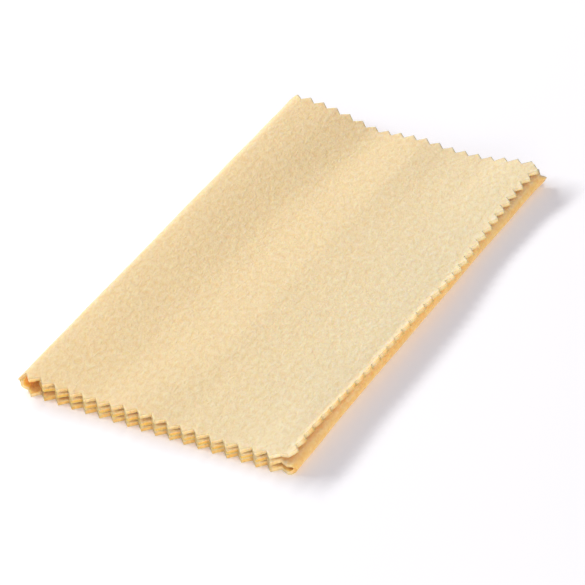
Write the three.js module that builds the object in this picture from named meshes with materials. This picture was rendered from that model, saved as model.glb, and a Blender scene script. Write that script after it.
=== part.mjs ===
// A brushed cotton cleaning cloth, folded in thirds like a letter and laid flat.
// It is one rectangle of cloth, pinked all round. The top third is the top panel, which turns
// down at the left fold into the bottom panel, which turns back at the right fold into the
// inner panel, tucked between the other two.
//
// Millimetres, +Z up. The origin is under the middle of the folded cloth, on the surface that it
// lies on. X runs across the folds and Y along them, with the front edge at negative Y.
//
// The cloth is drawn flat first, in the coordinates (across, along): across runs from the top
// panel's free edge to the inner panel's, and keeps its X in the bottom panel. One function,
// folded, then carries any flat point to its place.

import * as THREE from 'three';

const { lerp, smoothstep } = THREE.MathUtils;

// The cloth and its pinked edge. A tooth's flanks meet at a right angle.
const clothThickness = 1.4;
const clothLength = 203;
const toothPitch = 5.85;
const toothDepth = 2.9;

// The folded cloth's width at the front, and what the left fold adds to it at the back.
const foldedWidth = 114.55;
const leftFoldSpread = 0.6;

// The two folds' radii, to the middle of the cloth. The left fold is a soft loop that opens
// towards the back, and the right fold is pressed almost flat.
const leftRadiusFront = 3.3;
const leftRadiusBack = 5.5;
const rightRadius = 1.3;
const rightFoldMargin = 2.5;

// The top panel's tips end this far inside the right fold's outermost line, at the front and at
// the back, and the inner panel's tips this far inside the line where the left fold starts.
const topEdgeInsetFront = 0.3;
const topEdgeInsetBack = 1.3;
const innerEndGap = 1.8;

// The top panel's upper face lies at this height, with a slow wave across it.
const stackHeight = 6.6;
const waveHeight = 0.7;
const waveLength = 58;

// Beyond the left fold the top panel keeps the loop's height for a while (the shelf), and has
// come down to the stack's height at the end of the slope.
const shelfFront = 10;
const shelfBack = 2;
const slopeEndFront = 30;
const slopeEndBack = 42;

// The top panel's free edge curls up along its length, and its two free corners curl up more.
const edgeLift = 1.2;
const edgeCurlWidth = 8;
const frontCornerLift = 0.9;
const backCornerLift = 1.5;
const cornerWidth = 18;
const cornerLength = 34;

// The inner panel lies on the bottom panel, and its free end curls up under the left fold.
const layerGap = 0.3;
const innerFoldRun = 12;
const innerCurlHeight = 2.7;
const innerCurlRun = 36;

// The pieces meet at seams with this gap.
const seamGap = 0.3;

// The spacing of the inner points of a panel, and how finely a fold's arc is divided.
const gridSpacingAcross = 5.8;
const gridSpacingAlong = 12;
const gridMargin = 6.5;
const arcSteps = 12;

const halfThickness = clothThickness / 2;
const frontTips = -clothLength / 2;
const backTips = clothLength / 2;
const frontNotches = frontTips + toothDepth;
const backNotches = backTips - toothDepth;

// How far back a point lies, from 0 at the front edge to 1 at the back edge.
function backShare(y) {
  return (y - frontTips) / clothLength;
}

function leftRadius(y) {
  return lerp(leftRadiusFront, leftRadiusBack, backShare(y));
}

// The line where the bottom panel starts to turn up into the left fold.
function leftLine(y) {
  const outermost = -foldedWidth / 2 - leftFoldSpread * backShare(y);
  return outermost + halfThickness + leftRadius(y);
}

// In the flat cloth: where the left fold ends and the top panel starts, and the same for the
// right fold and the inner panel.
function leftFoldEnd(y) {
  return leftLine(y) - Math.PI * leftRadius(y);
}

const rightLine = foldedWidth / 2 - halfThickness - rightRadius;
const rightFoldEnd = rightLine + Math.PI * rightRadius;

// Where the top and the inner panel's tips end, as they lie.
function topEdge(y) {
  return foldedWidth / 2 - lerp(topEdgeInsetFront, topEdgeInsetBack, backShare(y));
}

const innerEnd = leftLine(frontTips) + innerEndGap;

// The rows of notches on the two free edges, in the flat cloth.
function topNotches(y) {
  return leftLine(y) + leftFoldEnd(y) - topEdge(y) + toothDepth;
}

function innerNotches() {
  return rightLine + rightFoldEnd - innerEnd - toothDepth;
}

// A share that rises from 0 to 1 as a distance shrinks from the run to nothing.
function nearness(distance, run) {
  return Math.max(1 - distance / run, 0) ** 2;
}

// The middle of the top panel's thickness.
function topHeight(x, y) {
  const back = backShare(y);
  const shelf = lerp(shelfFront, shelfBack, back);
  const slopeEnd = lerp(slopeEndFront, slopeEndBack, back);
  const settledShare = smoothstep(x - leftLine(y), shelf, slopeEnd);
  const loopTop = halfThickness + 2 * leftRadius(y);
  const wave = waveHeight * Math.cos((2 * Math.PI * x) / waveLength);
  const level = stackHeight - halfThickness + wave;

  const inside = topEdge(y) - x;
  const frontLift = frontCornerLift * nearness(y - frontTips, cornerLength);
  const backLift = backCornerLift * nearness(backTips - y, cornerLength);
  const lift = edgeLift * nearness(inside, edgeCurlWidth) + (frontLift + backLift) * nearness(inside, cornerWidth);
  return lerp(loopTop, level, settledShare) + lift;
}

// The middle of the inner panel's thickness.
function innerHeight(x) {
  const foldTop = halfThickness + 2 * rightRadius;
  const level = clothThickness + layerGap + halfThickness;
  const settledShare = smoothstep(rightLine - x, 0, innerFoldRun);
  return lerp(foldTop, level, settledShare) + innerCurlHeight * nearness(x - innerEnd, innerCurlRun);
}

// Carries a point of the flat cloth to its place. The third coordinate is the distance from the
// middle of the thickness, towards the face that is inside the folds.
function folded(across, y, inward) {
  if (across < leftLine(y)) {
    const radius = leftRadius(y);
    const turn = Math.min((leftLine(y) - across) / radius, Math.PI);
    const beyond = Math.max(leftFoldEnd(y) - across, 0);
    if (beyond > 0) {
      const x = leftLine(y) + beyond;
      return new THREE.Vector3(x, y, topHeight(x, y) - inward);
    }
    const x = leftLine(y) - (radius - inward) * Math.sin(turn);
    const z = halfThickness + radius - (radius - inward) * Math.cos(turn);
    return new THREE.Vector3(x, y, z);
  }
  if (across > rightLine) {
    const turn = Math.min((across - rightLine) / rightRadius, Math.PI);
    const beyond = Math.max(across - rightFoldEnd, 0);
    if (beyond > 0) {
      const x = rightLine - beyond;
      return new THREE.Vector3(x, y, innerHeight(x) - inward);
    }
    const x = rightLine + (rightRadius - inward) * Math.sin(turn);
    const z = halfThickness + rightRadius - (rightRadius - inward) * Math.cos(turn);
    return new THREE.Vector3(x, y, z);
  }
  return new THREE.Vector3(across, y, halfThickness + inward);
}

function teethAlong(length) {
  return Math.max(Math.round(Math.abs(length) / toothPitch), 1);
}

// How far a pinked edge stands out at a share of its length: 0 at a notch, 1 at a tip.
function toothShare(share, teeth) {
  return 1 - Math.abs(2 * ((share * teeth) % 1) - 1);
}

// The shares at which a length is marked when it is divided evenly in each of these ways.
function marks(...divisions) {
  const shares = divisions.flatMap((count) => Array.from({ length: count + 1 }, (_, i) => i / count));
  shares.sort((a, b) => a - b);
  return shares.filter((share, i) => i === 0 || share - shares[i - 1] > Number.EPSILON);
}

// Flat points on the front and back edges between two lines, at the given share of the way.
function edgePoint(from, to, share, teeth, notches, tips) {
  const y = lerp(notches, tips, toothShare(share, teeth));
  return new THREE.Vector2(lerp(from(y), to(y), share), y);
}

// The flat cloth of a strip between two seams: a row of quads, pinked at both ends.
function flatStrip(from, to, steps) {
  const frontTeeth = teethAlong(to(frontTips) - from(frontTips));
  const backTeeth = teethAlong(to(backTips) - from(backTips));
  const shares = marks(2 * frontTeeth, 2 * backTeeth, steps);
  const front = shares.map((share) => edgePoint(from, to, share, frontTeeth, frontNotches, frontTips));
  const back = shares.map((share) => edgePoint(from, to, share, backTeeth, backNotches, backTips));
  const count = shares.length;
  const triangles = [];
  for (let i = 0; i + 1 < count; i += 1) {
    triangles.push([i, i + 1, count + i + 1], [i, count + i + 1, count + i]);
  }
  const frontRim = [...front.keys()];
  const backRim = frontRim.map((i) => 2 * count - 1 - i);
  return { points: [...front, ...back], triangles, rim: [...frontRim, ...backRim] };
}

// The sides of a closed loop as chains of point numbers. A side's list stops short of its last
// point, which is the next side's first.
function chains(sides) {
  const total = sides.flat().length;
  let start = 0;
  return sides.map((side) => {
    const chain = Array.from({ length: side.length + 1 }, (_, i) => (start + i) % total);
    start += side.length;
    return chain;
  });
}

// Triangles between two chains that run side by side. The step whose middle comes first is next.
function zip(outer, inner) {
  const triangles = [];
  let i = 0;
  let j = 0;
  while (i + 1 < outer.length || j + 1 < inner.length) {
    if ((2 * i + 1) / (outer.length - 1) <= (2 * j + 1) / (inner.length - 1)) {
      triangles.push([outer[i], outer[i + 1], inner[j]]);
      i += 1;
    } else {
      triangles.push([outer[i], inner[j + 1], inner[j]]);
      j += 1;
    }
  }
  return triangles;
}

// The flat cloth of a panel from its seam to its free edge, pinked on three sides: an even grid
// of inner points, with a band of triangles from the grid out to the teeth.
function flatPanel(seam, free) {
  const outward = Math.sign(free(0) - seam(0));
  const frontTeeth = teethAlong(free(frontTips) - seam(frontTips));
  const backTeeth = teethAlong(free(backTips) - seam(backTips));
  const sideTeeth = teethAlong(backNotches - frontNotches);
  const rows = marks(Math.ceil((backNotches - frontNotches) / gridSpacingAlong));
  const columns = marks(Math.ceil(Math.abs(free(0) - seam(0)) / gridSpacingAcross));
  const rowY = rows.map((share) => lerp(frontNotches + gridMargin, backNotches - gridMargin, share));

  const frontSide = marks(2 * frontTeeth).slice(0, -1).map((share) =>
    edgePoint(seam, free, share, frontTeeth, frontNotches, frontTips));
  const freeSide = marks(2 * sideTeeth).slice(0, -1).map((share) => {
    const y = lerp(frontNotches, backNotches, share);
    return new THREE.Vector2(free(y) + outward * toothDepth * toothShare(share, sideTeeth), y);
  });
  const backSide = marks(2 * backTeeth).slice(1).reverse().map((share) =>
    edgePoint(seam, free, share, backTeeth, backNotches, backTips));
  const seamY = [backNotches, ...rowY.slice(1, -1).reverse()];
  const seamSide = seamY.map((y) => new THREE.Vector2(seam(y), y));
  const outlineSides = [frontSide, freeSide, backSide, seamSide];
  const outline = outlineSides.flat();

  const grid = rowY.map((y) => columns.map((share) => {
    const start = seam(y) + outward * gridMargin;
    return new THREE.Vector2(lerp(start, free(y) - outward * gridMargin, share), y);
  }));
  const gridNumber = (j, i) => outline.length + j * columns.length + i;
  const lastRow = rows.length - 1;
  const lastColumn = columns.length - 1;
  const borderSides = [
    columns.slice(1).map((_, i) => gridNumber(0, i)),
    rows.slice(1).map((_, j) => gridNumber(j, lastColumn)),
    columns.slice(1).map((_, i) => gridNumber(lastRow, lastColumn - i)),
    rows.slice(1).map((_, j) => gridNumber(lastRow - j, 0)),
  ];
  const border = borderSides.flat();
  const borderChains = chains(borderSides);

  const triangles = chains(outlineSides).flatMap((chain, side) =>
    zip(chain, borderChains[side].map((k) => border[k])));
  for (let j = 0; j < lastRow; j += 1) {
    for (let i = 0; i < lastColumn; i += 1) {
      const [a, b] = [gridNumber(j, i), gridNumber(j, i + 1)];
      const [d, c] = [gridNumber(j + 1, i), gridNumber(j + 1, i + 1)];
      triangles.push([a, b, c], [a, c, d]);
    }
  }
  const rim = [...outline.keys()];
  return { points: [...outline, ...grid.flat()], triangles, rim: outward > 0 ? rim : rim.reverse() };
}

// Folds a piece of flat cloth and gives it its thickness: its two faces, and a wall on the rim.
function clothGeometry({ points, triangles, rim }) {
  const count = points.length;
  const inner = points.map((point) => folded(point.x, point.y, halfThickness));
  const outer = points.map((point) => folded(point.x, point.y, -halfThickness));
  const index = [];
  for (const [a, b, c] of triangles) {
    const turnsLeft = THREE.ShapeUtils.area([points[a], points[b], points[c]]) > 0;
    const [p, q] = turnsLeft ? [b, c] : [c, b];
    index.push(a, p, q, count + a, count + q, count + p);
  }
  rim.forEach((a, i) => {
    const b = rim[(i + 1) % rim.length];
    index.push(count + a, count + b, b, count + a, b, a);
  });
  const geometry = new THREE.BufferGeometry().setFromPoints([...inner, ...outer]);
  geometry.setIndex(index);
  geometry.computeVertexNormals();
  return geometry;
}

function clothPiece(name, flat) {
  const material = new THREE.MeshStandardMaterial({ color: '#eed59c', roughness: 0.95, metalness: 0 });
  const piece = new THREE.Mesh(clothGeometry(flat), material);
  piece.name = name;
  return piece;
}

// The seams, each moved by half the gap to the side of the piece that ends there.
const halfGap = seamGap / 2;
const bottomEnd = rightLine - rightFoldMargin;
const innerStart = rightFoldEnd + rightFoldMargin;

const cloth = new THREE.Group();
cloth.add(
  clothPiece('bottom_panel', flatStrip((y) => leftLine(y) + halfGap, () => bottomEnd - halfGap, 1)),
  clothPiece('right_fold', flatStrip(() => bottomEnd + halfGap, () => innerStart - halfGap, 3 * arcSteps)),
  clothPiece('inner_panel', flatPanel(() => innerStart + halfGap, innerNotches)),
  clothPiece('left_fold', flatStrip((y) => leftFoldEnd(y) + halfGap, (y) => leftLine(y) - halfGap, arcSteps)),
  clothPiece('top_panel', flatPanel((y) => leftFoldEnd(y) - halfGap, topNotches)),
);

export default cloth;
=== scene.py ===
# %% [markdown]
# # A folded cleaning cloth
#
# One rectangle of yellow brushed cotton, cut out with pinking shears and folded in thirds like a
# letter. It is built twice over: the CAD solids give the sizes, the joint and the collisions, and
# this script gives the cloth its soft curves, its nap and its light. Nothing here moves or
# rescales the CAD: the two new sheets take its five solids' place.
#
# Each step below says what the thing is on the real object, how it could be made, and why this
# way was chosen.

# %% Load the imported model
import math

import bmesh
import bpy
import numpy as np
from mathutils import Matrix, Vector, noise


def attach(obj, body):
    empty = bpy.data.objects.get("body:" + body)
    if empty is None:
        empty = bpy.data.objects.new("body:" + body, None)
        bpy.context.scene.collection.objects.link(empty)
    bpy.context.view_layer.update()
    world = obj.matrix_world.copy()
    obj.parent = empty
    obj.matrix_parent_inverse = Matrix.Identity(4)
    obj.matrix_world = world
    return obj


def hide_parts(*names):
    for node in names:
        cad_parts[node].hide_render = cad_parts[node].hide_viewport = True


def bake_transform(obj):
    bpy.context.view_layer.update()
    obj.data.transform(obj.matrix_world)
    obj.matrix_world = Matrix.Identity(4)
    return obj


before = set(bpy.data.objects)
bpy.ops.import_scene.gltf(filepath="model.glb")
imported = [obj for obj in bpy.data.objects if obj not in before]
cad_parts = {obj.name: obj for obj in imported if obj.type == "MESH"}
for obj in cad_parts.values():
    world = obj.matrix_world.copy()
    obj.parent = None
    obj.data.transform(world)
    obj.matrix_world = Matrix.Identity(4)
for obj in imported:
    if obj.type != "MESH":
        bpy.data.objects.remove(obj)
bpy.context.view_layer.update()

print("CAD nodes:", sorted(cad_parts))

# %% [markdown]
# ## Sizes
#
# Blender measures in metres, and cloth is easier to think of in millimetres, so every size is
# written in millimetres and multiplied once. The sizes repeat those of the CAD model: the cloth's
# thickness, its teeth, and the height of three layers. X runs across the folds, Y along them, and
# the front edge, the one nearest the camera, is at negative Y.
#
# Cloth has no sudden changes, so nearly everything below is faded in or out by one small function,
# `nearness`, which rises smoothly instead of in a straight line.

# %% Sizes of the cloth
MM = 0.001

THICKNESS = 1.4
FRONT_TIPS = -101.5
BACK_TIPS = 101.5
TOOTH_PITCH = 5.85
TOOTH_DEPTH = 2.9
FRONT_NOTCHES = FRONT_TIPS + TOOTH_DEPTH
BACK_NOTCHES = BACK_TIPS - TOOTH_DEPTH
STACK_TOP = 6.6
TOP_LEVEL = STACK_TOP - THICKNESS / 2


def back_share(y):
    """0 at the front edge of the cloth, 1 at its back edge."""
    return (y - FRONT_TIPS) / (BACK_TIPS - FRONT_TIPS)


def nearness(distance, run):
    """Rises smoothly from 0 to 1 as a distance shrinks from the run to nothing."""
    share = np.clip(1 - distance / run, 0, 1)
    return share * share * (3 - 2 * share)


print("flat cloth:", THICKNESS, "mm thick,", BACK_TIPS - FRONT_TIPS, "mm long")

# %% [markdown]
# ## The two folds
#
# Seen from its end, a fold is half a turn round a cylinder, so all it needs is a radius and the
# line where the turn starts. The left fold is a soft, open loop, wider at the back. The right fold
# is pressed tight, except at its back end, and no fold made by hand is straight: this one bows in
# by a millimetre. Both could be drawn as curves, but as functions of Y they fit the flat cloth.

# %% Radius and line of each fold
LEFT_LINE, RIGHT_LINE = -56.575, 56.575
LEFT_RADIUS, LEFT_OPENING, LEFT_SPREAD = 3.3, 2.2, 0.6
RIGHT_RADIUS, RIGHT_OPENING, LOOSE_RUN = 1.65, 0.5, 40
BOW_PLACES = [-101.5, -70, -10, 60, 88, 101.5]
BOWS = [0, 0.6, 1.1, 1.3, 1.0, 0.2]


def left_radius(y):
    """The left fold is a soft loop that opens towards the back."""
    return LEFT_RADIUS + LEFT_OPENING * back_share(y)


def left_line(y):
    """Where the bottom panel starts to turn up into the left fold."""
    return LEFT_LINE - LEFT_SPREAD * back_share(y) + left_radius(y)


def left_fold_end(y):
    """Where the left fold ends and the top panel starts, measured on the flat cloth."""
    return left_line(y) - math.pi * left_radius(y)


def looseness(y):
    """How far the right fold has come open: 0 over most of its length, 1 at its back end."""
    return nearness(BACK_TIPS - y, LOOSE_RUN)


def right_radius(y):
    """The right fold is tight, and looser at its back end."""
    return RIGHT_RADIUS + RIGHT_OPENING * looseness(y)


def right_line(y):
    """Where the bottom panel starts to turn up into the right fold, which bows in a little."""
    return RIGHT_LINE - right_radius(y) - np.interp(y, BOW_PLACES, BOWS)


def right_fold_end(y):
    """Where the right fold ends and the inner panel starts, measured on the flat cloth."""
    return right_line(y) + math.pi * right_radius(y)


print("left fold's radius, front to back:", left_radius(FRONT_TIPS), "to", left_radius(BACK_TIPS))

# %% [markdown]
# ## The camera
#
# A product photograph like this is taken from a few steps away with a long lens, so that the far
# edge isn't much smaller than the near one. The camera is placed by its direction (how far round
# it stands, how high, and how much it leans, in degrees) and by its distance. A Track To
# constraint could aim it too, but it keeps a camera level, and this one leans. A lens of about
# 190 mm on a 36 mm sensor frames the cloth from 1.17 m.

# %% Place the camera
CAMERA_TURN = 31.53
CAMERA_HEIGHT = 35.51
CAMERA_LEAN = 3.72
CAMERA_DISTANCE = 1168.4
CAMERA_ASIDE = -1.79
CAMERA_UP = -10.56
CAMERA_LENS = 191.6
CAMERA_SENSOR = 36.0
NEAREST_SEEN = 50
AIM = Vector((0.125, 3.8, STACK_TOP))

turn, height = math.radians(CAMERA_TURN), math.radians(CAMERA_HEIGHT)
back = Vector((math.sin(turn) * math.cos(height),
               -math.cos(turn) * math.cos(height), math.sin(height)))
level_right = Vector((math.cos(turn), math.sin(turn), 0))
level_up = back.cross(level_right)
lean = Matrix.Rotation(math.radians(-CAMERA_LEAN), 3, back)
right, up = lean @ level_right, lean @ level_up
spot = AIM + CAMERA_ASIDE * right + CAMERA_UP * up + CAMERA_DISTANCE * back

bpy.ops.object.select_all(action="DESELECT")
bpy.ops.object.camera_add()
camera = bpy.context.object
camera.name = "camera"
camera.data.sensor_width = CAMERA_SENSOR
camera.data.lens = CAMERA_LENS
camera.data.clip_start = NEAREST_SEEN * MM
axes = Matrix((right, up, back)).transposed().to_4x4()
camera.matrix_world = Matrix.Translation(spot * MM) @ axes
bpy.context.scene.camera = camera
print("camera at", [round(v * MM, 3) for v in spot])

# %% [markdown]
# ## The waves of the panels
#
# Cloth that has been folded and unfolded never lies quite flat. The top panel waves a little
# across its width. The wave is given along the front edge, the middle and the back edge, as
# heights over the level of the stack. The inner panel under it has a wave of its own. Sculpting
# could do this too, but a list of heights can be read and put right.
#
# `np.interp` alone would leave a crease at each given point, so the heights are smoothed with a
# running mean of a few millimetres.

# %% Height profiles
PROFILE_STEP = 0.1
PROFILE_PLACES = np.linspace(-110, 110, 2201)


def smooth_profile(points, reach=3.0):
    """A function of x that runs smoothly along the given (x, height) points."""
    xs, hs = np.array(points).T
    raw = np.interp(PROFILE_PLACES, xs, hs)
    window = np.hanning(2 * int(reach / PROFILE_STEP) + 1)
    pad = len(window) // 2
    wide = np.concatenate([np.full(pad, raw[0]), raw, np.full(pad, raw[-1])])
    soft = np.convolve(wide, window / window.sum(), "valid")
    return lambda x: np.interp(x, PROFILE_PLACES, soft)


TOP_FRONT = smooth_profile([
    (-56.6, 1.4), (-49, 1.3), (-42.6, 0.8), (-36.6, 0.35), (-30.6, 0.0), (-24.6, -0.3),
    (-19, -0.1), (-14, 0.3), (-8, 0.6), (-2, 0.5), (4.4, -0.1), (10, -0.75), (15.4, -0.65),
    (24.4, -0.7), (33.4, -0.8), (39.4, -0.6), (44.4, 0.1), (49.4, 0.6), (54.4, 1.0), (60, 1.3)])
TOP_MIDDLE = smooth_profile([
    (-56.6, 2.9), (-48.6, 2.6), (-42.6, 2.0), (-36.6, 1.2), (-30.6, 0.4), (-24.6, -0.3),
    (-16.6, -0.6), (-6.6, -0.2), (3.4, 0.2), (13.4, -0.3), (25.4, -0.7), (37.4, -0.8),
    (44.4, -0.7), (49.4, -0.6), (54.4, -0.4), (60, -0.2)])
TOP_BACK = smooth_profile([
    (-56.6, 5.6), (-48.3, 4.9), (-42.6, 4.3), (-36.9, 3.5), (-30.8, 2.1), (-24.8, 0.5),
    (-19.2, -0.85), (-13.6, -1.2), (-7.5, -0.6), (-1.9, -0.1), (4.5, 0.2), (10.1, -0.4),
    (15.6, -1.0), (21.1, -1.15), (27.4, -0.95), (32.9, -0.8), (38.8, 0.5), (44.6, 1.5),
    (50.8, 2.0), (56, 2.2)])
INNER_TOP = smooth_profile([
    (-56.6, -0.3), (-51.1, -0.4), (-48.8, -0.6), (-42.8, -1.5), (-36.8, -2.1), (-24.8, -3.1),
    (-13.6, -2.6), (-7.6, -2.6), (-1.8, -2.9), (10.4, -3.4), (15.4, -3.45), (38.4, -3.4),
    (50.4, -2.0), (58.4, -1.9)], reach=4.0)
print("front right corner of the top panel is lifted by", round(float(TOP_FRONT(57)), 2), "mm")

# %% [markdown]
# ## The height of the top and the inner panel
#
# Between the three given waves, each place's height is drawn from one to the next. The panel also
# has to leave the loop at the loop's own height, so the step that is left there is faded out over
# a few centimetres. Towards its free edge the panel sags on to the right fold, and the inner panel
# rises with that fold where it comes open at the back.

# %% Height at any place
FRONT_WAVE_RUN, BACK_WAVE_RUN = 62, 78
LOOP_STEP_RUN = 32
SAG_LINE, SAG_RUN = 58, 28
LIFT_RUN = 16
TOP_SAG = smooth_profile([(-5, 0), (30, 0.8), (55, 1.1), (78, 0.9), (98, 0)], reach=8)


def top_wave(x, y):
    """The top panel's height over the level of the stack."""
    at_front = nearness(y - FRONT_TIPS, FRONT_WAVE_RUN)
    at_back = nearness(BACK_TIPS - y, BACK_WAVE_RUN)
    middle = 1 - at_front - at_back
    return at_front * TOP_FRONT(x) + middle * TOP_MIDDLE(x) + at_back * TOP_BACK(x)


def top_height(x, y):
    """The middle of the top panel's thickness at a place on the floor plan."""
    loop_top = THICKNESS / 2 + 2 * left_radius(y)
    step = loop_top - (TOP_LEVEL + top_wave(left_line(y), y))
    sag = TOP_SAG(y) * nearness(SAG_LINE - x, SAG_RUN)
    at_loop = nearness(x - left_line(y), LOOP_STEP_RUN)
    return TOP_LEVEL + top_wave(x, y) - sag + step * at_loop


def inner_height(x, y):
    """The middle of the inner panel's thickness."""
    lift = looseness(y) * nearness(right_line(y) - x, LIFT_RUN)
    return TOP_LEVEL + INNER_TOP(x) + lift


print("top panel's middle at the back left:", round(float(top_height(-50, BACK_TIPS)), 2), "mm")

# %% [markdown]
# ## Folding the flat cloth
#
# The whole cloth is drawn flat first, as a rectangle with teeth. Its long direction is called
# `across`: it is the same as X in the bottom panel, runs on past the right fold into the inner
# panel, and the other way past the left fold into the top panel. One function then carries any
# flat point to its place, so the teeth run unbroken through both folds, as they do on a real
# cloth. A cloth simulation would fold it too, but not the same way twice.
#
# The free edge of the top panel follows a line of its own, given at its notches, and curls up
# along a part of a turn: tightly at the front, hardly at all at the back.

# %% The folding function
TOP_NOTCH_LINE = smooth_profile([
    (-98.6, 54.1), (-88, 54.1), (-71, 54.3), (-58, 54.6), (-40, 55.3), (-22, 55.3), (-5, 55.2),
    (11, 55.4), (27, 55.1), (41, 53.7), (64, 52.6), (81, 51.7), (95, 53.1), (98.6, 53.5)], reach=8)
CURL_RADIUS = smooth_profile([
    (-98, 9), (-88, 4.8), (-30, 4.8), (10, 5.8), (35, 9), (60, 16), (96, 40)], reach=8)
CURL_START = 2.6
INNER_JOIN_RUN = 12


def fold(across, y):
    """Carries flat points to the middle of the cloth, in millimetres."""
    start, radius, end = left_line(y), left_radius(y), left_fold_end(y)
    x = np.array(across, float)
    z = np.full_like(x, THICKNESS / 2)

    loop = (across < start) & (across >= end)
    angle = (start - across) / radius
    x = np.where(loop, start - radius * np.sin(angle), x)
    z = np.where(loop, THICKNESS / 2 + radius * (1 - np.cos(angle)), z)

    top = across < end
    flat_x = start + (end - across)
    curl_line = TOP_NOTCH_LINE(y) - CURL_START
    angle = np.clip(flat_x - curl_line, 0, None) / CURL_RADIUS(y)
    top_x = np.minimum(flat_x, curl_line) + CURL_RADIUS(y) * np.sin(angle)
    curl = CURL_RADIUS(y) * (1 - np.cos(angle))
    x = np.where(top, top_x, x)
    z = np.where(top, top_height(top_x, y) + curl, z)

    start, radius, end = right_line(y), right_radius(y), right_fold_end(y)
    bend = (across > start) & (across <= end)
    angle = (across - start) / radius
    x = np.where(bend, start + radius * np.sin(angle), x)
    z = np.where(bend, THICKNESS / 2 + radius * (1 - np.cos(angle)), z)

    inner = across > end
    inner_x = start - (across - end)
    fold_top = THICKNESS / 2 + 2 * radius
    joined = nearness(start - inner_x, INNER_JOIN_RUN)
    x = np.where(inner, inner_x, x)
    z = np.where(inner, inner_height(inner_x, y) * (1 - joined) + fold_top * joined, z)
    return x, z


samples = np.array([-100.0, 0.0, 100.0])
print("flat places", samples, "fold to x and z", [v.round(1) for v in fold(samples, np.zeros(3))])

# %% [markdown]
# ## Cutting the teeth
#
# Pinking shears cut a zigzag, which keeps a woven cloth from fraying. The teeth could be cut out
# of a finished sheet with a boolean, but that leaves long thin faces that shade badly. Instead
# the grid follows the teeth: the outermost row runs in a zigzag, and each row further in does so
# less, until the rows are straight.

# %% A strip of cloth with teeth
TOOTH_FADE = 9


def zigzag(count, steps):
    """0 at the notches, 1 at the tips, for a number of teeth cut into some steps in all."""
    share = np.arange(steps + 1) * count / steps
    return 1 - np.abs(2 * (share % 1) - 1)


def fade(distance, run):
    """Falls in a straight line from 1 at a distance of nothing to 0 at the run."""
    return np.clip(1 - distance / run, 0, 1)


def cut_sheet(stretches, rows_y, side_teeth, free_sign):
    """Flat points of a strip of cloth, as two arrays of rows and columns.

    A stretch of its front and back edges is
    (start, end, front teeth, their depth, back teeth, columns)."""
    columns = np.concatenate(
        [np.linspace(a, b, n, endpoint=False) for a, b, _, _, _, n in stretches]
        + [[stretches[-1][1]]])
    front_teeth = np.concatenate(
        [depth * zigzag(teeth, n)[:-1] for _, _, teeth, depth, _, n in stretches] + [[0]])
    back_teeth = np.concatenate(
        [zigzag(teeth, n)[:-1] for _, _, _, _, teeth, n in stretches] + [[0]])
    across = np.tile(columns, (len(rows_y), 1))
    y = np.repeat(rows_y[:, None], len(columns), 1)
    at_front = fade(y - FRONT_NOTCHES, TOOTH_FADE)
    at_back = fade(BACK_NOTCHES - y, TOOTH_FADE)
    y = y + TOOTH_DEPTH * (back_teeth * at_back - front_teeth * at_front)
    free = columns[0] if free_sign < 0 else columns[-1]
    at_side = fade(np.abs(across - free), TOOTH_FADE)
    across = across + free_sign * TOOTH_DEPTH * side_teeth[:, None] * at_side
    return across, y


print("one tooth in eight steps:", zigzag(1, 8))

# %% [markdown]
# ## The nap as a shape, and painted light and shade as a number
#
# Brushing leaves the cloth slightly uneven: slow waves of a couple of centimetres, and tufts of a
# few millimetres. A displacement texture would do, but it is lost with the modifier that reads it,
# so the unevenness is seeded noise that moves the points themselves.
#
# Each point also keeps a number for the material, which mixes the pale colour of the nap over the
# golden colour of the weave. It is mostly painted light and shade: open faces get the pale colour,
# a painted sheen that grows towards the right, and the number is low, for painted shade, where the
# cloth turns on its side, round the tight right fold, inside, on the lower sheet under the top
# panel and down the cut edge. The cut edges on the right get the pale colour as a painted
# highlight.

# %% Unevenness of the nap, and painted light and shade
SLOW_WAVE_LENGTH, SLOW_WAVES = 22, 0.26
TUFT_LENGTH, TUFTS = 2.6, 0.07
FOLD_X = 57
# Painted sheen and shade: open, level cloth is painted pale, cloth on its side deeper golden.
SIDE_SHADE_NAP, LEVEL_SHEEN_NAP, RIGHT_EXTRA_SHEEN = 0.3, 0.42, 0.34
SIDEWAYS, LOOP_NAP_RUN = 0.5, 20
# Painted shade inside the cloth, darkest in the loop and at the right fold.
INSIDE_SHADE_NAP, LEFT_INSIDE_RUN, RIGHT_FOLD_RUN = 0.8, 24, 14
# Painted shade: the lower sheet's outside lies under the top panel, darkest at the right fold.
LOWER_SHADE_NAP, LOWER_SHADE_EXTRA_NAP = 0.5, 0.4
# Painted shade down the cut edge: its lower rows are deeper golden, more so on the lower sheet.
COVER_RIM_SHADE_NAP = [1.0, 0.9, 0.6]
LOWER_RIM_SHADE_NAP = [0.4, 0.2, 0.0]
# Painted highlight: the cut edges on the right are painted pale, fading out towards the back.
RIGHT_RIM_X, RIGHT_RIM_RUN, RIGHT_RIM_HIGHLIGHT_NAP = 45, 8, 1.2
BACK_RIM_Y, BACK_RIM_RUN, BACK_RIM_LEAST = 50, 40, 0.3


def nap_lumps(x, y, seed):
    """Gentle unevenness of the cloth in millimetres: slow waves and the tufts of the nap."""
    lumps = np.empty(x.shape)
    for index in np.ndindex(x.shape):
        here = Vector((x[index], y[index], seed))
        slow = noise.noise(here / SLOW_WAVE_LENGTH)
        tuft = noise.fractal(here / TUFT_LENGTH, 1.0, 2.0, 2)
        lumps[index] = SLOW_WAVES * slow + TUFTS * tuft
    return lumps


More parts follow.
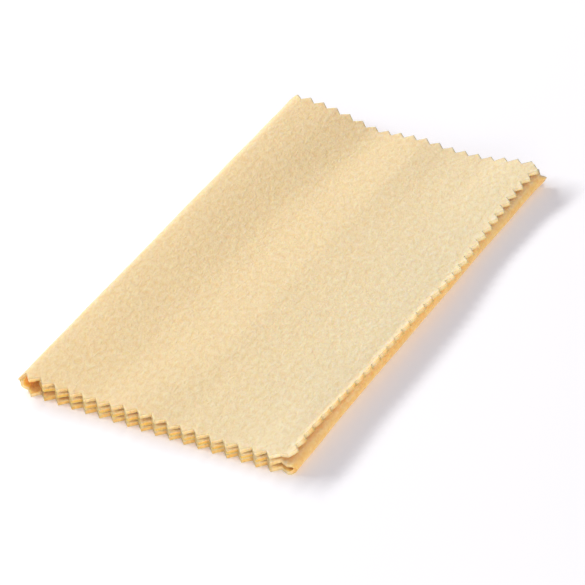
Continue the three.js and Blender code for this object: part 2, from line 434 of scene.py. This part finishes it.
def nap_and_light_by_facing(normal, x):
    """Nap with painted sheen and shade: 1 on open, level cloth, little where it turns on its side.
    """
    # Painted shade where the cloth turns on its side, painted sheen where it lies level.
    level = nearness(1 - np.abs(normal[:, :, 2]), SIDEWAYS)
    level = np.maximum(level, nearness(x + FOLD_X, LOOP_NAP_RUN))
    # Painted sheen: level cloth is painted paler towards the right.
    share_across = np.clip((x + FOLD_X) / (2 * FOLD_X), 0, 1)
    return SIDE_SHADE_NAP + level * (LEVEL_SHEEN_NAP + RIGHT_EXTRA_SHEEN * share_across ** 2)


def away_from(line, x, run):
    """0 at a fold's line, 1 from some millimetres to its side on."""
    return 1 - nearness(np.abs(x - line), run)


def nap_and_light_of_sheet(normal, x, edge, rim_number, shaded_outside):
    """Nap with painted light and shade on the outside, the inside and the three rows of the cut
    edge.
    """
    outside = nap_and_light_by_facing(normal, x)
    at_right_fold = away_from(FOLD_X, x, RIGHT_FOLD_RUN)
    # Painted shade on the inside, darkest in the loop and at the right fold.
    inside = outside * INSIDE_SHADE_NAP * away_from(-FOLD_X, x, LEFT_INSIDE_RUN) * at_right_fold
    # Painted shade on the lower sheet's outside, darkest at the right fold.
    if shaded_outside:
        outside = outside * (LOWER_SHADE_NAP + LOWER_SHADE_EXTRA_NAP * at_right_fold)
    outside = outside.ravel()
    # Painted highlight on the cut edges at the right, fading out towards the back.
    lit_right_rim = np.clip((edge[:, 0] - RIGHT_RIM_X) / RIGHT_RIM_RUN, 0, 1)
    lit_right_rim *= np.clip((BACK_RIM_Y - edge[:, 1]) / BACK_RIM_RUN, BACK_RIM_LEAST, 1)
    # Painted shade: the cut edge gets deeper golden downwards, more so on the lower sheet.
    rim = [(share + (RIGHT_RIM_HIGHLIGHT_NAP - share) * lit_right_rim) * outside[rim_number]
           for share in (LOWER_RIM_SHADE_NAP if shaded_outside else COVER_RIM_SHADE_NAP)]
    return np.concatenate([outside, inside.ravel()] + rim)


print("nap on level cloth, left to right:", SIDE_SHADE_NAP + LEVEL_SHEEN_NAP, "to",
      SIDE_SHADE_NAP + LEVEL_SHEEN_NAP + RIGHT_EXTRA_SHEEN)

# %% [markdown]
# ## From a surface to a solid
#
# The sheet is a real solid: its two faces are half a thickness to either side of the middle, and
# its cut edge bulges a little, as soft cloth does. A Solidify modifier would do nearly the same,
# but then the edge would be a flat strip, and brushed cloth has no sharp corners. So three rows
# of points go round the cut edge, leaning up, straight out and down, and faces join them to the
# borders of the two faces.

# %% Points and faces of a solid sheet
RIM_BULGE = 0.4
RIM_ANGLES = [math.radians(50), 0.0, math.radians(-50)]


def surface_normals(points):
    """Unit normals of a grid of points, towards the outside of the folded cloth."""
    along = np.gradient(points, axis=0)
    crosswise = np.gradient(points, axis=1)
    normal = np.cross(along, crosswise)
    return normal / np.linalg.norm(normal, axis=2, keepdims=True)


def rim_path(rows, columns):
    """The rows and the columns of a grid's border points, once around."""
    path = [(0, i) for i in range(columns)]
    path += [(j, columns - 1) for j in range(1, rows)]
    path += [(rows - 1, i) for i in range(columns - 2, -1, -1)]
    path += [(j, 0) for j in range(rows - 2, 0, -1)]
    return tuple(np.array(path).T)


def bulged_rim(edge, edge_normal):
    """Three rows of points round the cut edge, from its outer to its inner side."""
    tangent = np.roll(edge, -1, axis=0) - np.roll(edge, 1, axis=0)
    outward = np.cross(tangent, edge_normal)
    outward /= np.linalg.norm(outward, axis=1, keepdims=True)
    return [edge + RIM_BULGE * math.cos(angle) * outward
            + THICKNESS / 2 * math.sin(angle) * edge_normal for angle in RIM_ANGLES]


def closed_faces(rows, columns, rim_number):
    """The four-sided faces of a sheet's outside, its inside and its cut edge."""
    j, i = np.meshgrid(np.arange(rows - 1), np.arange(columns - 1), indexing="ij")
    corner = (j * columns + i).ravel()
    outside = np.stack([corner, corner + 1, corner + columns + 1, corner + columns], axis=1)
    count, around = rows * columns, len(rim_number)
    inside = outside[:, ::-1] + count
    shells = [2 * count + k * around + np.arange(around) for k in range(len(RIM_ANGLES))]
    rings = [rim_number] + shells + [rim_number + count]
    walls = [np.stack([upper, lower, np.roll(lower, -1), np.roll(upper, -1)], axis=1)
             for upper, lower in zip(rings, rings[1:])]
    return np.concatenate([outside, inside] + walls)


print("border points of a grid of 3 by 4:", len(rim_path(3, 4)[0]))

# %% [markdown]
# ## From a solid to a Blender object
#
# With thousands of points, `from_pydata` is much quicker than adding them one by one. The mesh
# keeps the nap, with its painted light and shade, as an attribute, and each point's place on the
# flat cloth as its UV map, in metres, so that the patterns of the material bend with the cloth.
# The nap is uneven on both faces, and pressed flat where the cloth lies on the floor.

# %% A sheet as an object
INSIDE_LUMPS = 0.4


def cloth_mesh(name, vertices, polygons, nap, flat):
    """A mesh whose faces point outwards, with its nap and painted light, and its flat map."""
    mesh = bpy.data.meshes.new(name)
    mesh.from_pydata(vertices.tolist(), [], polygons.tolist())
    mesh.update()
    # The nap attribute holds the nap together with painted light and shade.
    thickness = mesh.attributes.new("nap", "FLOAT", "POINT")
    thickness.data.foreach_set("value", nap.astype(np.float32))
    loop_vertices = np.empty(len(mesh.loops), dtype=np.int32)
    mesh.loops.foreach_get("vertex_index", loop_vertices)
    flat_map = mesh.uv_layers.new(name="flat_cloth")
    flat_map.data.foreach_set("uv", flat[loop_vertices].ravel())
    work = bmesh.new()
    work.from_mesh(mesh)
    bmesh.ops.recalc_face_normals(work, faces=work.faces)
    work.to_mesh(mesh)
    work.free()
    mesh.polygons.foreach_set("use_smooth", [True] * len(mesh.polygons))
    return mesh


def sheet_object(name, across, y, seed, shaded_outside):
    """A closed solid of cloth from its flat points."""
    x, z = fold(across, y)
    middle = np.stack([x, y, z], axis=2)
    normal = surface_normals(middle)
    lumps = nap_lumps(across, y, seed)[:, :, None]
    outside = middle + normal * (THICKNESS / 2 + lumps)
    inside = middle - normal * (THICKNESS / 2 - INSIDE_LUMPS * lumps)
    rows, columns = x.shape
    path = rim_path(rows, columns)
    rim_number = path[0] * columns + path[1]
    edge = middle[path]
    shells = bulged_rim(edge, normal[path])
    vertices = np.concatenate([outside.reshape(-1, 3), inside.reshape(-1, 3)] + shells) * MM
    vertices[:, 2] = np.maximum(vertices[:, 2], 0)
    nap = nap_and_light_of_sheet(normal, x, edge, rim_number, shaded_outside)
    flat = np.stack([across, y], axis=2)
    flat = np.concatenate([flat.reshape(-1, 2)] * 2 + [flat[path]] * len(shells)) * MM
    mesh = cloth_mesh(name, vertices, closed_faces(rows, columns, rim_number), nap, flat)
    piece = bpy.data.objects.new(name, mesh)
    bpy.context.scene.collection.objects.link(piece)
    print(f"{name}: {2 * len(mesh.polygons)} triangles")
    return piece


print("the inside is", INSIDE_LUMPS, "times as uneven as the outside")

# %% [markdown]
# ## Where the teeth are
#
# The three layers' front edges lie one above the other with their teeth in step, so the notches
# of the top, inner and bottom panel have the same X. Between the panels, inside the two folds, a
# whole number of teeth fills the length that is left. At the front, both folds end in shallower
# teeth than the rest, because the cloth pulls them in.
#
# The cloth is made in two sheets that meet under the left fold. The upper one is the left fold
# and the top panel, which opens; the lower one is the bottom panel, the right fold and the inner
# panel, which stay. The line where they meet is flat on the floor and hidden by the loop. The
# cover has more rows and columns to a tooth, because it is the sheet that is seen.

# %% Notches in the flat cloth
FIRST_NOTCH = -54.275
TEETH_IN_STEP = 18
LOWER_TEETH = TEETH_IN_STEP - 1
SIDE_TEETH = 34
COVER_STEPS = 8
LOWER_STEPS = 4
FREE_CORNER = 4.2
FULL, LOOP_DEPTH, FOLD_DEPTH = 1.0, 0.3, 0.5
ROW_SHIFT, ROW_SHIFT_RUN = 1.2, 0.16

in_step = FIRST_NOTCH + TOOTH_PITCH * np.arange(TEETH_IN_STEP + 1)
top_in_step = left_line(FRONT_NOTCHES) + left_fold_end(FRONT_NOTCHES) - in_step
inner_in_step = right_line(FRONT_NOTCHES) + right_fold_end(FRONT_NOTCHES) - in_step
top_free = top_in_step[-1] - FREE_CORNER
loop_middle = (top_in_step[0] + in_step[0]) / 2
cover_stretches = [
    (top_free, top_in_step[-1], 0, FULL, 1, COVER_STEPS),
    (top_in_step[-1], top_in_step[0], TEETH_IN_STEP, FULL, TEETH_IN_STEP,
     TEETH_IN_STEP * COVER_STEPS),
    (top_in_step[0], loop_middle, 1, FULL, 1, COVER_STEPS),
    (loop_middle, in_step[0], 1, LOOP_DEPTH, 1, COVER_STEPS),
    (in_step[0], in_step[1], 1, FULL, 1, COVER_STEPS),
]
lower_stretches = [
    (in_step[1], in_step[-1], LOWER_TEETH, FULL, LOWER_TEETH, LOWER_TEETH * LOWER_STEPS),
    (in_step[-1], inner_in_step[-1], 2, FOLD_DEPTH, 3, 3 * LOWER_STEPS),
    (inner_in_step[-1], inner_in_step[1], LOWER_TEETH, FULL, LOWER_TEETH,
     LOWER_TEETH * LOWER_STEPS),
]


def side_rows(steps, shift):
    """Rows from the front to the back notches, one through every tip of the side's teeth.

    Away from both ends they are shifted along the cloth, and the teeth with them."""
    share = np.arange(SIDE_TEETH * steps + 1) / (SIDE_TEETH * steps)
    y = FRONT_NOTCHES + (BACK_NOTCHES - FRONT_NOTCHES) * share
    return y + shift * (1 - nearness(np.minimum(share, 1 - share), ROW_SHIFT_RUN))


cover_rows = side_rows(COVER_STEPS, ROW_SHIFT)
lower_rows = side_rows(LOWER_STEPS, 0)
print("teeth along the front edge:", sum(part[2] for part in cover_stretches + lower_stretches))

# %% [markdown]
# ## The two sheets
#
# Each sheet is cut flat, folded and given its thickness. The top panel's free edge isn't quite
# straight, so its flat points are stretched by a millimetre or so to end on its line. At the back
# the panel has also slipped by a millimetre to the right, on the layers below.

# %% Cut and fold
BACK_SLIP = 1.1
SLIP_PLACES = [top_in_step[16], top_in_step[8], top_in_step[0], in_step[0]]
COVER_SEED, LOWER_SEED = 3.1, 7.7

side = zigzag(SIDE_TEETH, SIDE_TEETH * COVER_STEPS)
cover_across, cover_y = cut_sheet(cover_stretches, cover_rows, side, -1)
free_now = left_line(cover_y) + left_fold_end(cover_y) - top_free
beyond = np.clip((top_in_step[-1] - cover_across) / (top_in_step[-1] - top_free), 0, 1)
cover_across = cover_across - (TOP_NOTCH_LINE(cover_y) - free_now) * beyond
slip = np.interp(cover_across, SLIP_PLACES, [0, 1, 1, 0])
cover_across = cover_across - BACK_SLIP * back_share(cover_y) * slip
cover = sheet_object("cover_sheet", cover_across, cover_y, COVER_SEED, False)

side = zigzag(SIDE_TEETH, SIDE_TEETH * LOWER_STEPS)
lower_across, lower_y = cut_sheet(lower_stretches, lower_rows, side, 1)
lower = sheet_object("lower_sheet", lower_across, lower_y, LOWER_SEED, True)

# %% [markdown]
# ## Brushed cotton
#
# Flannel is woven cotton whose surface has been brushed until a soft nap of loose fibres hides
# the weave. To the eye it has no gloss at all, a pale bloom where it is seen at a slant, and a
# fine mottling where the fibres lie in different directions. Light goes a few millimetres into
# it, so the single wall of the loop lets some of the lamp's light through, and its hollow glows
# orange instead of going grey; the deep orange there is also painted shade, in the weave's colour.
#
# A photograph of cloth could be wrapped round the sheets, but it would carry its own light. The
# patterns here are noise on the flat map, drawn out along the cloth, the way it was brushed.
#
# First come two small helpers, one for colours and one for nodes.

# %% Colours and nodes
def linear(hex_colour):
    """An sRGB colour such as #EDD9AE as linear values with full alpha."""
    parts = [int(hex_colour[i:i + 2], 16) / 255 for i in (1, 3, 5)]
    return [p / 12.92 if p <= 0.04045 else ((p + 0.055) / 1.055) ** 2.4 for p in parts] + [1.0]


def add_node(material, kind, links=(), **settings):
    """Adds a node, sets its properties or input values, and links its inputs."""
    node = material.node_tree.nodes.new(kind)
    for name, value in settings.items():
        socket = next((s for s in node.inputs if s.name.replace(" ", "_") == name), None)
        if hasattr(node, name):
            setattr(node, name, value)
        else:
            socket.default_value = value
    for source, output, target in links:
        material.node_tree.links.new(source.outputs[output], node.inputs[target])
    return node


print("the nap's light tone is", [round(v, 3) for v in linear("#FAE9C0")])

# %% [markdown]
# ## The pattern of the nap
#
# Tufts are about 1.6 mm wide. Fibres are 0.8 mm, drawn many times coarser than real ones so that
# they show. The colour wavers between two pale yellows, the nap with a painted sheen, where the
# nap number is high, and between two golden ones, the colour of the weave, where it is low and
# paints shade.

# %% Tufts, fibres and colour
TUFT_SIZE, FIBRE_SIZE = 1.6, 0.8
BRUSHED = (1.0, 0.6, 1.0)
DARK_PLACE, LIGHT_PLACE = 0.34, 0.68

flannel = bpy.data.materials.new("brushed_cotton_flannel")
flannel.use_nodes = True
flannel.node_tree.nodes.clear()
place = add_node(flannel, "ShaderNodeUVMap", uv_map="flat_cloth")
combed = add_node(flannel, "ShaderNodeMapping", [(place, "UV", "Vector")])
combed.inputs["Scale"].default_value = BRUSHED
tufts = add_node(flannel, "ShaderNodeTexNoise", [(combed, "Vector", "Vector")],
                 Scale=1 / (TUFT_SIZE * MM), Detail=3.0, Roughness=0.6, Distortion=0.3)
fibres = add_node(flannel, "ShaderNodeTexNoise", [(combed, "Vector", "Vector")],
                  Scale=1 / (FIBRE_SIZE * MM), Detail=2.0, Roughness=0.7)
tones = []
# The golden pair is the weave's own colour, shown for painted shade; the pale pair is the nap with
# a painted sheen.
for dark, light in (("#F1B450", "#FBC86E"), ("#F1D8A3", "#FAE9C0")):
    ramp = add_node(flannel, "ShaderNodeValToRGB", [(tufts, "Fac", "Fac")])
    for stop, position, tone in zip(ramp.color_ramp.elements, (DARK_PLACE, LIGHT_PLACE),
                                    (dark, light)):
        stop.position = position
        stop.color = linear(tone)
    tones.append(ramp)
weave_colour, nap_and_sheen_colour = tones
nap_and_light_node = add_node(flannel, "ShaderNodeAttribute", attribute_name="nap")
# The nap number mixes them: painted sheen on level faces, painted shade on sides, hollows and
# lower layers.
colour = add_node(flannel, "ShaderNodeMixRGB",
                  [(nap_and_light_node, "Fac", "Fac"), (weave_colour, "Color", "Color1"),
                   (nap_and_sheen_colour, "Color", "Color2")])
print("colour ramps:", len(tones))

# %% [markdown]
# ## The surface of the nap
#
# A Principled shader with a rough surface, and a sheen for the bloom. Two bumps, one on the other,
# give the tufts and the fibres; the larger shapes are in the mesh. Subsurface light goes deeper
# where there is no nap, which is inside the loop and on the cut edges.

# %% Bumps, glow and sheen
tuft_bump = add_node(flannel, "ShaderNodeBump", [(tufts, "Fac", "Height")],
                     Strength=0.85, Distance=0.38 * MM)
fibre_bump = add_node(flannel, "ShaderNodeBump",
                      [(fibres, "Fac", "Height"), (tuft_bump, "Normal", "Normal")],
                      Strength=0.5, Distance=0.2 * MM)
glow_weight = add_node(flannel, "ShaderNodeMapRange", [(nap_and_light_node, "Fac", "Value")],
                       From_Max=0.1, To_Min=0.9, To_Max=0.4)
glow_depth = add_node(flannel, "ShaderNodeMapRange", [(nap_and_light_node, "Fac", "Value")],
                      From_Max=0.1, To_Min=4 * MM, To_Max=1.5 * MM)
surface = add_node(flannel, "ShaderNodeBsdfPrincipled",
                   [(colour, "Color", "Base Color"), (fibre_bump, "Normal", "Normal"),
                    (glow_weight, "Result", "Subsurface Weight"),
                    (glow_depth, "Result", "Subsurface Scale")],
                   Roughness=0.95, Sheen_Weight=0.4, Sheen_Roughness=0.5)
surface.inputs["Specular IOR Level"].default_value = 0.4
surface.inputs["Subsurface Radius"].default_value = (1.0, 0.72, 0.25)
surface.inputs["Sheen Tint"].default_value = linear("#FFFAF0")
add_node(flannel, "ShaderNodeOutputMaterial", [(surface, "BSDF", "Surface")])
for sheet in (cover, lower):
    sheet.data.materials.append(flannel)
print("material:", flannel.name, "with", len(flannel.node_tree.nodes), "nodes")

# %% [markdown]
# ## The floor
#
# The cloth lies on a white surface that the camera sees as pure white. It is matt card, which
# scatters light evenly and has no gloss, and it glows a little of itself, as paper does that is
# lit from below. A curved studio backdrop could be modelled, but from above only the floor shows,
# and a plane of 40 m ends out of sight. It lies a tenth of a millimetre under the cloth, so that
# the two faces don't flicker.

# %% White card
FLOOR_SIZE = 40.0
FLOOR_GAP = 0.0001

paper = bpy.data.materials.new("matt_white_card")
paper.use_nodes = True
card = paper.node_tree.nodes["Principled BSDF"]
card.inputs["Base Color"].default_value = linear("#FFFFFF")
card.inputs["Roughness"].default_value = 0.9
card.inputs["Specular IOR Level"].default_value = 0.0
card.inputs["Emission Color"].default_value = (1.0, 0.96, 1.08, 1.0)
card.inputs["Emission Strength"].default_value = 0.10

bpy.ops.object.select_all(action="DESELECT")
bpy.ops.mesh.primitive_plane_add(size=FLOOR_SIZE, location=(0, 0, -FLOOR_GAP))
floor = bpy.context.object
floor.name = "floor"
floor.data.materials.append(paper)
print("floor:", paper.name)

# %% [markdown]
# ## The light
#
# The photograph has a soft grey shadow on the right. That takes three lights: an even white sky,
# one long softbox, low at the left, and a white reflector at the front right. The sky alone would
# leave the cloth flat; the softbox draws the teeth and the shadow, and the reflector lights the
# edges that face the camera. The reflector stands more than a metre away, so that the line where
# its light ends on the floor is out of sight.
#
# A lamp's turn is counted in degrees from +X towards +Y, and its height in degrees from the floor
# up. Its distance and size are in metres. The colours are shown as they are, without a film's
# curve.

# %% Sky, softbox and reflector
def long_light(name, turn, height, distance, length, depth, energy):
    """A rectangular lamp that faces the cloth."""
    turn, height = math.radians(turn), math.radians(height)
    towards = Vector((math.cos(turn) * math.cos(height),
                      math.sin(turn) * math.cos(height), math.sin(height)))
    sideways = Vector((0, 0, 1)).cross(towards).normalized()
    upwards = towards.cross(sideways)
    bpy.ops.object.light_add(type="AREA", location=towards * distance)
    lamp = bpy.context.object
    lamp.name = name
    lamp.matrix_world = (Matrix.Translation(towards * distance)
                         @ Matrix((sideways, upwards, towards)).transposed().to_4x4())
    lamp.data.shape = "RECTANGLE"
    lamp.data.size = length
    lamp.data.size_y = depth
    lamp.data.energy = energy
    print(name, "at", [round(v, 2) for v in lamp.location])


sky = bpy.data.worlds.new("even_white_sky")
bpy.context.scene.world = sky
sky.use_nodes = True
sky.node_tree.nodes["Background"].inputs["Color"].default_value = (1.0, 0.965, 1.03, 1.0)
sky.node_tree.nodes["Background"].inputs["Strength"].default_value = 0.40
long_light("strip_softbox", 175, 28.5, distance=1.6, length=1.7, depth=0.20, energy=28.1)
long_light("white_reflector", -38, 12, distance=1.2, length=1.6, depth=0.32, energy=8.4)
bpy.context.scene.view_settings.view_transform = "Standard"

# %% [markdown]
# ## The sheets and the model
#
# The lower sheet rides on the body that lies still, and the CAD parts that the two sheets replace
# are hidden. The cover's place is only baked into its mesh. If the whole cover rode on the opening
# body, it would tear away from the lower sheet. A direction for a bend between the bodies is
# worked
# out: it leans a little to the right, so that it would take in nearly the whole loop but no part
# of the top panel, also not where the panel lies lower than the loop's top.

# %% Bodies and sheets
BLEND_LEAN = 0.10
axis = np.array([BLEND_LEAN, 0.0, 1.0])
axis /= axis @ axis
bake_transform(cover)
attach(lower, "lower_cloth")
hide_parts("top_panel", "left_fold")
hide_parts("bottom_panel", "right_fold", "inner_panel")
